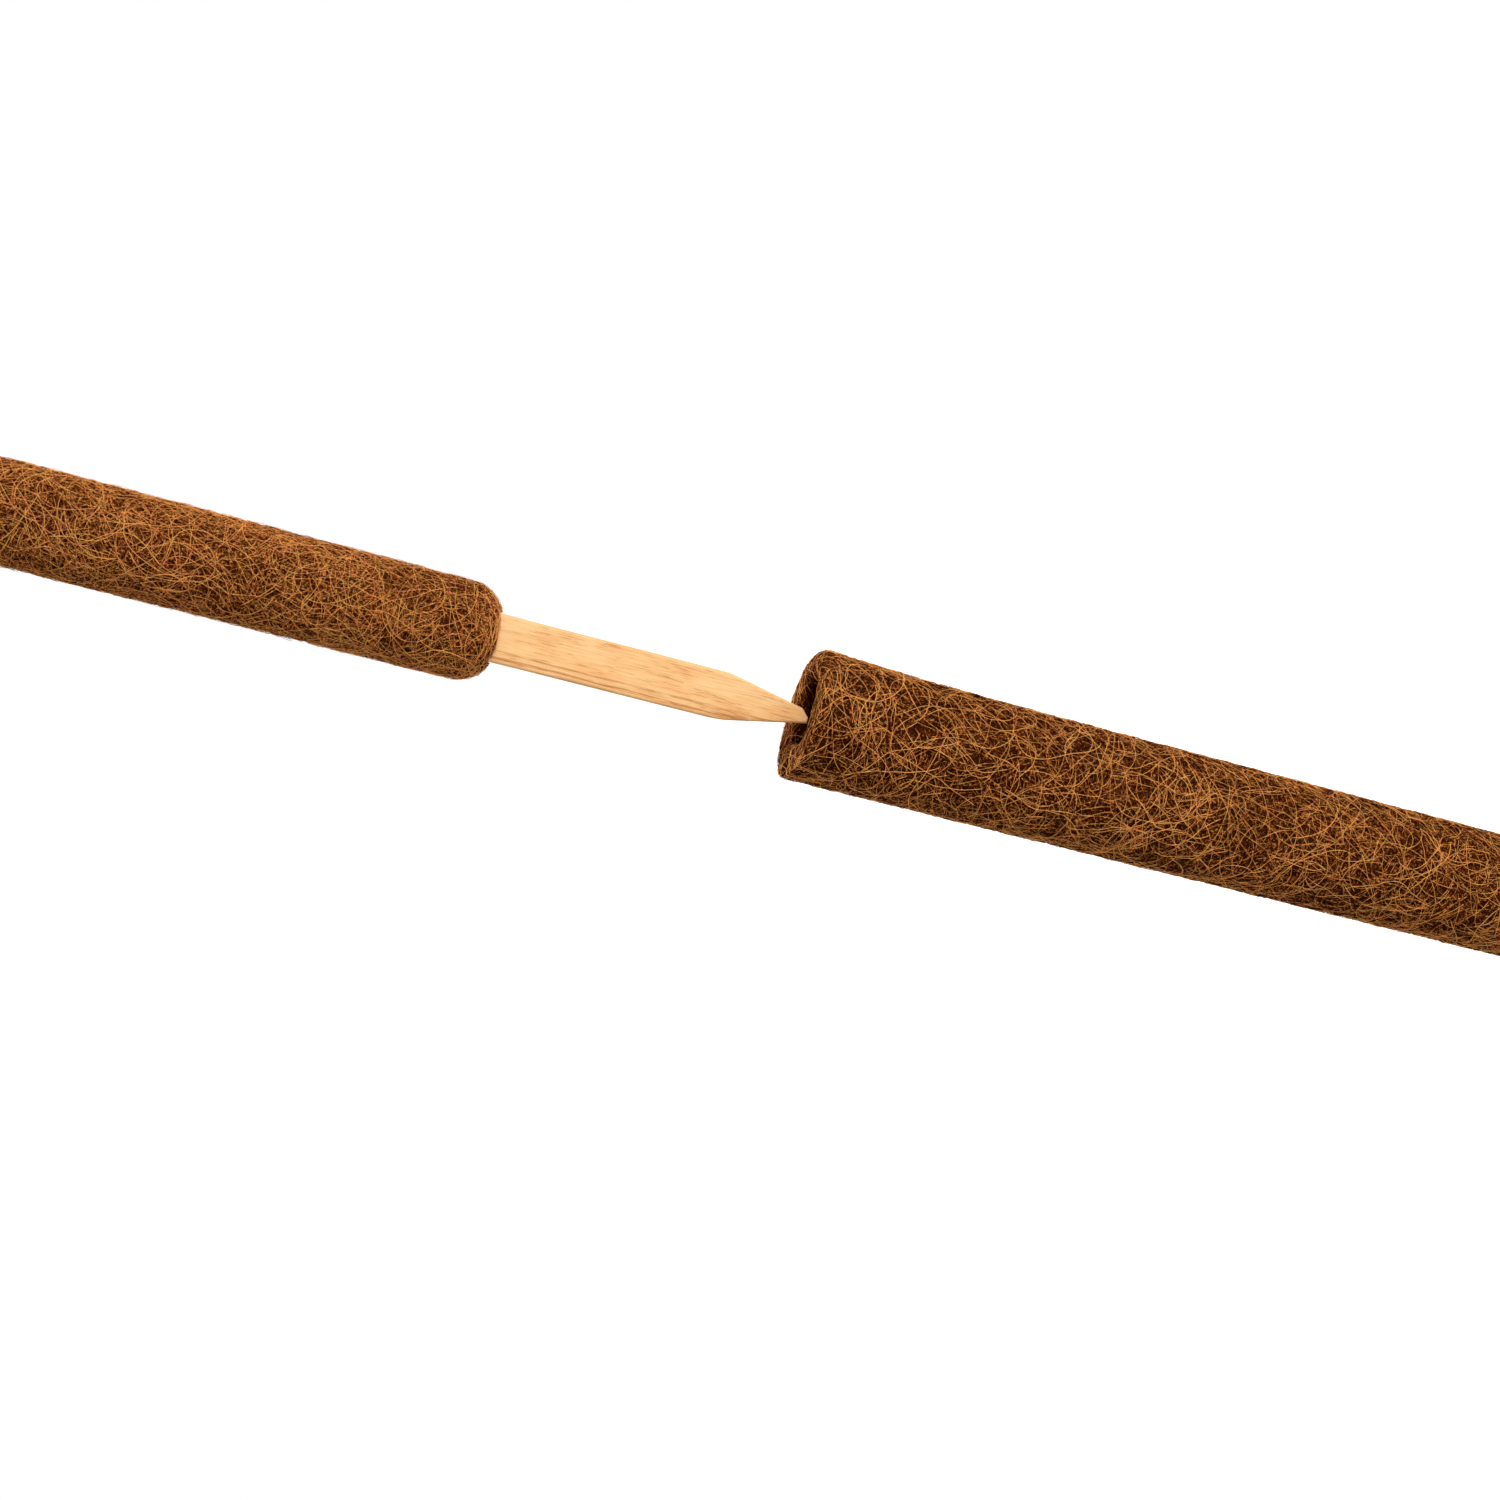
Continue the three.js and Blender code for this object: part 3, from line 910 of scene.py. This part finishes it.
def stake_mesh(name, section, sizes):
    """A sawn batten with a blunt point: its outline, drawn to its thickness, with eased edges."""
    low, high = section.stake_low, section.stake_high
    half = high.x
    tip = sizes.tip / 2
    shoulder = low.z + sizes.point
    lean = (half - tip) * sizes.tip_cut_length / sizes.point
    outline = [
        (-half, high.z),
        (-half, shoulder),
        (-tip, low.z),
        (tip - sizes.tip_cut, low.z),
        (tip + lean, low.z + sizes.tip_cut_length),
        (half, shoulder),
        (half, high.z),
    ]
    bm = bmesh.new()
    corners = [bm.verts.new((x, low.y, z)) for x, z in outline]
    bm.faces.new(corners)
    bmesh.ops.bevel(
        bm, geom=[corners[1], corners[5]], affect="VERTICES", offset=sizes.shoulder,
        segments=SHOULDER_SEGMENTS, profile=0.5, material=-1,
    )
    drawn = bmesh.ops.extrude_face_region(bm, geom=list(bm.faces))["geom"]
    moved = [g for g in drawn if isinstance(g, bmesh.types.BMVert)]
    bmesh.ops.translate(bm, verts=moved, vec=(0, high.y - low.y, 0))
    bmesh.ops.recalc_face_normals(bm, faces=bm.faces)
    rims = [e for e in bm.edges if abs(e.verts[0].co.y - e.verts[1].co.y) < RIM_LIMIT]
    bmesh.ops.bevel(
        bm, geom=rims, affect="EDGES", offset=sizes.arris,
        segments=ARRIS_SEGMENTS, profile=0.5, material=-1, clamp_overlap=True,
    )
    return finish_mesh(bm, bpy.data.meshes.new(name), smooth=False)


class POLE_OT_mats(bpy.types.Operator):
    """Make the felt of both rolls and both wraps, under the loose fibres"""

    bl_idname = "pole.mats"
    bl_label = "Coir mats"

    def execute(self, context):
        felt = felt_finish(context.scene.pole_finishes)
        for name in SECTION_NAMES:
            section = Section(name, context.scene.pole_mats)
            cover = ringed_mat(f"{name}_cover_wrap", section, cover_rings(section))
            core = ringed_mat(f"{name}_core_roll", section, core_rings(section))
            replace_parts(add_piece(cover, section.body, felt), f"{name}_cover_mat")
            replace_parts(add_piece(core, section.body, felt), f"{name}_core_mat")
        return {"FINISHED"}


class POLE_OT_fibres(bpy.types.Operator):
    """Lay the loose coconut fibres over both sections, layer by layer"""

    bl_idname = "pole.fibres"
    bl_label = "Coir fibres"

    def execute(self, context):
        fibres = context.scene.pole_fibres
        draw = np.random.default_rng(fibres.seed)
        finish = fibre_finish(context.scene.pole_finishes)
        for name in SECTION_NAMES:
            section = Section(name, context.scene.pole_mats)
            for layer in LAYERS:
                found = draw_fibres(section, layer, fibres, draw)
                mesh = fibre_mesh(f"{name}_{layer.name}_fibres", found)
                add_piece(mesh, section.body, finish)
        return {"FINISHED"}


class POLE_OT_stakes(bpy.types.Operator):
    """Saw and point both wooden stakes"""

    bl_idname = "pole.stakes"
    bl_label = "Wooden stakes"

    def execute(self, context):
        wood = wood_finish(context.scene.pole_finishes)
        for name in SECTION_NAMES:
            section = Section(name, context.scene.pole_mats)
            mesh = stake_mesh(f"{name}_pointed_stake", section, context.scene.pole_stakes)
            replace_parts(add_piece(mesh, section.body, wood), f"{name}_stake")
        return {"FINISHED"}


class POLE_OT_staples(bpy.types.Operator):
    """Give the wire staples their steel"""

    bl_idname = "pole.staples"
    bl_label = "Wire staples"

    def execute(self, context):
        steel = steel_finish(context.scene.pole_finishes)
        for name in SECTION_NAMES:
            for end in STAPLE_PLACES:
                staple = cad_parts[f"{name}_staple_{end}"]
                staple.data.materials.clear()
                staple.data.materials.append(steel)
        return {"FINISHED"}


def shown_plainly(shader):
    """1 for rays that show a surface to the camera, directly, mirrored or through glass."""
    seen = shader.node("ShaderNodeLightPath", output="Is Camera Ray")
    mirrored = shader.node("ShaderNodeLightPath", output="Is Glossy Ray")
    through = shader.node("ShaderNodeLightPath", output="Is Transmission Ray")
    given = {0: seen + mirrored + through, 1: 1.0}
    return shader.node("ShaderNodeMath", {"operation": "MINIMUM"}, given)


def white_world(studio):
    """A white backdrop for the camera that lights the object more softly."""
    world = bpy.data.worlds.new("studio_sky")
    shader = Shader(world)
    strength = shown_plainly(shader) * (1 - studio.sky) + studio.sky
    sky = shader.node("ShaderNodeBackground", inputs={"Color": (1, 1, 1, 1), "Strength": strength})
    shader.node("ShaderNodeOutputWorld", inputs={"Surface": sky})
    bpy.context.scene.world = world


def white_floor(studio, height):
    """A pale floor that the camera sees as white, apart from the object's shadow."""
    bm = bmesh.new()
    bmesh.ops.create_grid(bm, x_segments=1, y_segments=1, size=studio.floor_size)
    bmesh.ops.translate(bm, verts=bm.verts, vec=(0, 0, height))
    mesh = finish_mesh(bm, bpy.data.meshes.new("studio_floor"), smooth=False)
    material, shader = new_material("studio_floor")
    glow = shown_plainly(shader) * studio.floor_glow
    matt = shader.node("ShaderNodeBsdfDiffuse", inputs={"Color": opaque(studio.floor_tint)})
    lit = shader.node("ShaderNodeEmission", inputs={"Color": (1, 1, 1, 1), "Strength": glow})
    both = shader.node("ShaderNodeAddShader", inputs={0: matt, 1: lit})
    shader.node("ShaderNodeOutputMaterial", inputs={"Surface": both})
    mesh.materials.append(material)
    floor = bpy.data.objects.new("studio_floor", mesh)
    bpy.context.scene.collection.objects.link(floor)


def area_lamp(name, spot, target, size, power):
    """A round soft lamp that points at a target."""
    lamp = bpy.data.lights.new(name, "AREA")
    lamp.shape = "DISK"
    lamp.size = size
    lamp.energy = power
    holder = bpy.data.objects.new(name, lamp)
    holder.location = spot
    holder.rotation_euler = (target - spot).to_track_quat("-Z", "Y").to_euler()
    bpy.context.scene.collection.objects.link(holder)


def photo_camera(studio):
    """The photograph's camera: in front, a little above the mouth, rolled so that the pole lies across."""
    back = Vector((0, -math.cos(studio.elevation), math.sin(studio.elevation)))
    level = Vector((1, 0, 0))
    upright = back.cross(level)
    right = math.cos(studio.roll) * level + math.sin(studio.roll) * upright
    up = math.cos(studio.roll) * upright - math.sin(studio.roll) * level
    camera = bpy.data.cameras.new("photo_camera")
    camera.lens = studio.lens
    camera.sensor_width = 36.0
    camera.clip_start = 0.01
    holder = bpy.data.objects.new("photo_camera", camera)
    turned = Matrix((right, up, back)).transposed().to_4x4()
    holder.matrix_world = Matrix.Translation(Vector(studio.aim) + back * studio.distance) @ turned
    bpy.context.scene.collection.objects.link(holder)
    bpy.context.scene.camera = holder


class POLE_OT_stage(bpy.types.Operator):
    """Set up the white floor, the soft lamps and the camera"""

    bl_idname = "pole.stage"
    bl_label = "Studio"

    def execute(self, context):
        studio = context.scene.pole_studio
        low, high = cad_box
        middle = Vector((0, 0, (low.z + high.z) / 2))
        white_world(studio)
        white_floor(studio, low.z)
        key = middle + Vector(studio.key_place)
        back = middle + Vector(studio.back_place)
        area_lamp("key_lamp", key, middle, studio.key_size, studio.key_power)
        area_lamp("back_lamp", back, middle, studio.back_size, studio.back_power)
        photo_camera(studio)
        context.scene.view_settings.view_transform = "Standard"
        return {"FINISHED"}


OPERATORS = (POLE_OT_mats, POLE_OT_fibres, POLE_OT_stakes, POLE_OT_staples, POLE_OT_stage)


class POLE_PT_panel(bpy.types.Panel):
    """Lists the pole's pieces and its studio"""

    bl_idname = "POLE_PT_panel"
    bl_label = "Moss pole"
    bl_space_type = "VIEW_3D"
    bl_region_type = "UI"
    bl_category = "Moss pole"

    def draw(self, context):
        for operator in OPERATORS:
            self.layout.operator(operator.bl_idname)
        for group in GROUPS:
            sizes = getattr(context.scene, group)
            column = self.layout.column(align=True)
            for name in sizes.__annotations__:
                column.prop(sizes, name)


def register():
    for group, kind in GROUPS.items():
        bpy.utils.register_class(kind)
        setattr(bpy.types.Scene, group, bpy.props.PointerProperty(type=kind))
    for kind in (*OPERATORS, POLE_PT_panel):
        bpy.utils.register_class(kind)


def unregister():
    for kind in (POLE_PT_panel, *reversed(OPERATORS)):
        bpy.utils.unregister_class(kind)
    for group, kind in reversed(GROUPS.items()):
        delattr(bpy.types.Scene, group)
        bpy.utils.unregister_class(kind)


def main():
    register()
    bpy.ops.pole.mats()
    bpy.ops.pole.fibres()
    bpy.ops.pole.stakes()
    bpy.ops.pole.staples()
    bpy.ops.pole.stage()


if __name__ == "__main__":
    main()
